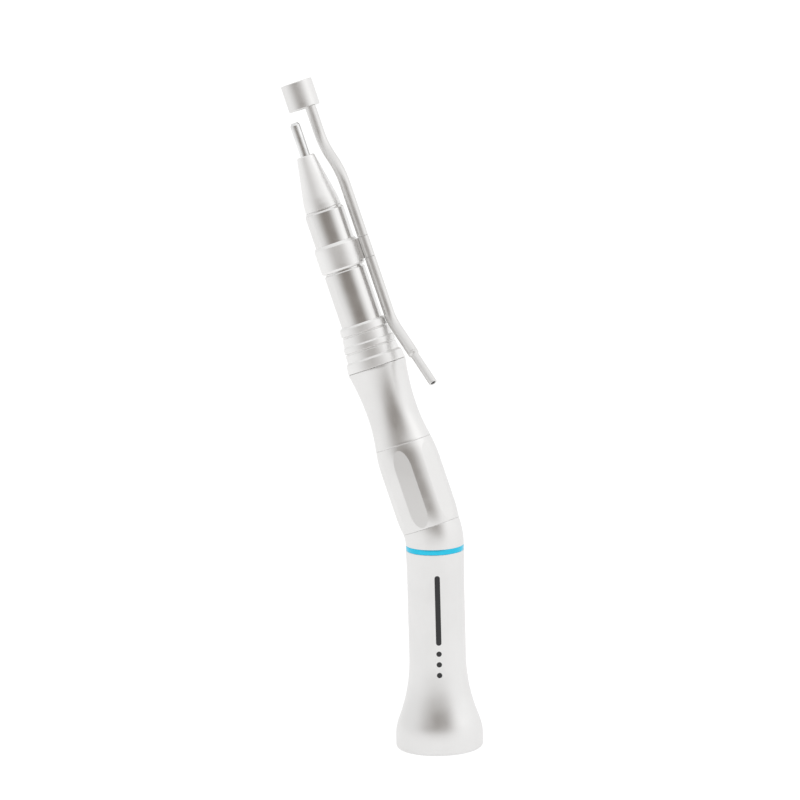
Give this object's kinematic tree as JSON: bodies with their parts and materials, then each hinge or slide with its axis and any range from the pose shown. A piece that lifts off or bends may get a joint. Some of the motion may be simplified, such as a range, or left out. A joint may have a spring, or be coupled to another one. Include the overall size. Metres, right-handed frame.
{
  "type": "angled surgical straight handpiece",
  "caption": "Slim angled dental handpiece with a flared rear coupling, ribbed chuck ring, tapered nose, clip-on water tube with spray ring, and a dummy bur.",
  "frame": {"origin": "centre of the coupling mouth in the rear face", "axes": "+Z along the lower axis, from the rear face towards the bend; the upper half leans 20 degrees towards -X"},
  "size_m": [0.0499, 0.02, 0.1535],
  "materials": {
    "satin_steel": "bead-blasted satin chrome on stainless steel",
    "ring_blue": "glossy blue marker ring",
    "tube_steel": "satin stainless steel tube",
    "polished_steel": "polished shank",
    "liner_steel": "fine turned",
    "tool_steel": "ground tool steel",
    "bearing_steel": "ground and polished bearing steel",
    "seal_rubber": "matt black elastomer",
    "seal_plastic": "white sealing plastic"
  },
  "bodies": {
    "root": {"rear_sleeve": "satin_steel", "coupling_liner": "liner_steel", "liner_seal": "seal_rubber", "rear_carrier": "liner_steel", "rear_bearing_nut": "liner_steel", "rear_race_spacer": "liner_steel", "colour_ring": "ring_blue", "elbow_housing": "satin_steel", "grip_sleeve": "satin_steel", "waist_sleeve": "satin_steel", "spindle_carrier": "liner_steel", "mid_bearing_nut": "liner_steel", "front_housing": "satin_steel", "waist_seal": "seal_rubber", "sleeve_key": "tool_steel", "nose_cone": "satin_steel", "nose_seal": "seal_plastic", "preload_washer": "liner_steel", "rear_bearing_1_outer_race": "bearing_steel", "rear_bearing_2_outer_race": "bearing_steel", "mid_bearing_outer_race": "bearing_steel", "front_bearing_outer_race": "bearing_steel"},
    "rear_shaft_body": {"rear_shaft": "tool_steel", "rear_gear": "tool_steel", "rear_bearing_1_inner_race": "bearing_steel", "rear_bearing_2_inner_race": "bearing_steel", "rear_shaft_nut": "tool_steel", "dog_pin": "tool_steel", "dog_spring": "tool_steel"},
    "drive_dog_body": {"drive_dog": "tool_steel"},
    "rear_cages": {"rear_bearing_1_balls": "bearing_steel", "rear_bearing_2_balls": "bearing_steel"},
    "spindle_body": {"spindle": "tool_steel", "front_gear": "tool_steel", "mid_bearing_inner_race": "bearing_steel", "front_bearing_inner_race": "bearing_steel", "spring_seat": "tool_steel", "spindle_nut": "tool_steel", "mid_race_nut": "tool_steel", "collet_spring": "tool_steel"},
    "upper_cages": {"mid_bearing_balls": "bearing_steel", "front_bearing_balls": "bearing_steel"},
    "collet_body": {"collet": "tool_steel", "pull_collar": "tool_steel", "collar_pin": "tool_steel"},
    "bur_body": {"dummy_bur": "polished_steel"},
    "chuck_body": {"chuck_ring": "satin_steel", "cam_pin_1": "tool_steel", "cam_pin_2": "tool_steel"},
    "cam_body": {"cam_sleeve": "tool_steel"},
    "clip_body": {"clip_ring": "satin_steel"},
    "nozzle_body": {"water_tube": "tube_steel", "hose_barb": "tube_steel", "spray_ring": "tube_steel", "spray_insert": "tube_steel"}
  },
  "joints": [
    {"name": "spindle_spin", "type": "hinge", "parent": "root", "child": "spindle_body", "pos_m": [0, 0, 0.0498], "axis": [-0.342, 0, 0.9397], "continuous": true},
    {"name": "rear_shaft_spin", "type": "hinge", "parent": "root", "child": "rear_shaft_body", "pos_m": [0, 0, 0.04], "axis": [0, 0, 1], "continuous": true},
    {"name": "rear_cage_spin", "type": "hinge", "parent": "root", "child": "rear_cages", "pos_m": [0, 0, 0.04], "axis": [0, 0, 1], "continuous": true},
    {"name": "upper_cage_spin", "type": "hinge", "parent": "root", "child": "upper_cages", "pos_m": [0, 0, 0.0498], "axis": [-0.342, 0, 0.9397], "continuous": true},
    {"name": "dog_slide", "type": "slide", "parent": "rear_shaft_body", "child": "drive_dog_body", "axis": [0, 0, 1], "range_m": [0, 0.001], "stiffness_N_per_m": 300, "springref_m": -0.0005, "deforming": ["dog_spring"]},
    {"name": "collet_slide", "type": "slide", "parent": "spindle_body", "child": "collet_body", "axis": [-0.342, 0, 0.9397], "range_m": [0, 0.0006], "deforming": ["collet_spring"]},
    {"name": "bur_slide", "type": "slide", "parent": "spindle_body", "child": "bur_body", "axis": [-0.342, 0, 0.9397], "range_m": [0, 0.038]},
    {"name": "chuck_twist", "type": "hinge", "parent": "root", "child": "chuck_body", "pos_m": [-0.01573, 0, 0.09303], "axis": [-0.342, 0, 0.9397], "range_deg": [0, 40]},
    {"name": "cam_slide", "type": "slide", "parent": "root", "child": "cam_body", "axis": [-0.342, 0, 0.9397], "range_m": [0, 0.0008]},
    {"name": "clip_swivel", "type": "hinge", "parent": "root", "child": "clip_body", "pos_m": [-0.02326, 0, 0.1137], "axis": [-0.342, 0, 0.9397], "continuous": true},
    {"name": "nozzle_swing", "type": "hinge", "parent": "clip_body", "child": "nozzle_body", "pos_m": [-0.01695, 0.0016, 0.11599], "axis": [-0.342, 0, 0.9397], "range_deg": [-20, 44.2]}
  ],
  "couplings": [
    {"joint": "rear_shaft_spin", "follows": "spindle_spin", "ratio": 1},
    {"joint": "rear_cage_spin", "follows": "spindle_spin", "ratio": 0.40769},
    {"joint": "upper_cage_spin", "follows": "spindle_spin", "ratio": 0.42188},
    {"joint": "cam_slide", "follows": "chuck_twist", "m_per_rad": 0.0011459},
    {"joint": "collet_slide", "follows": "chuck_twist", "m_per_rad": 0.00085944}
  ]
}
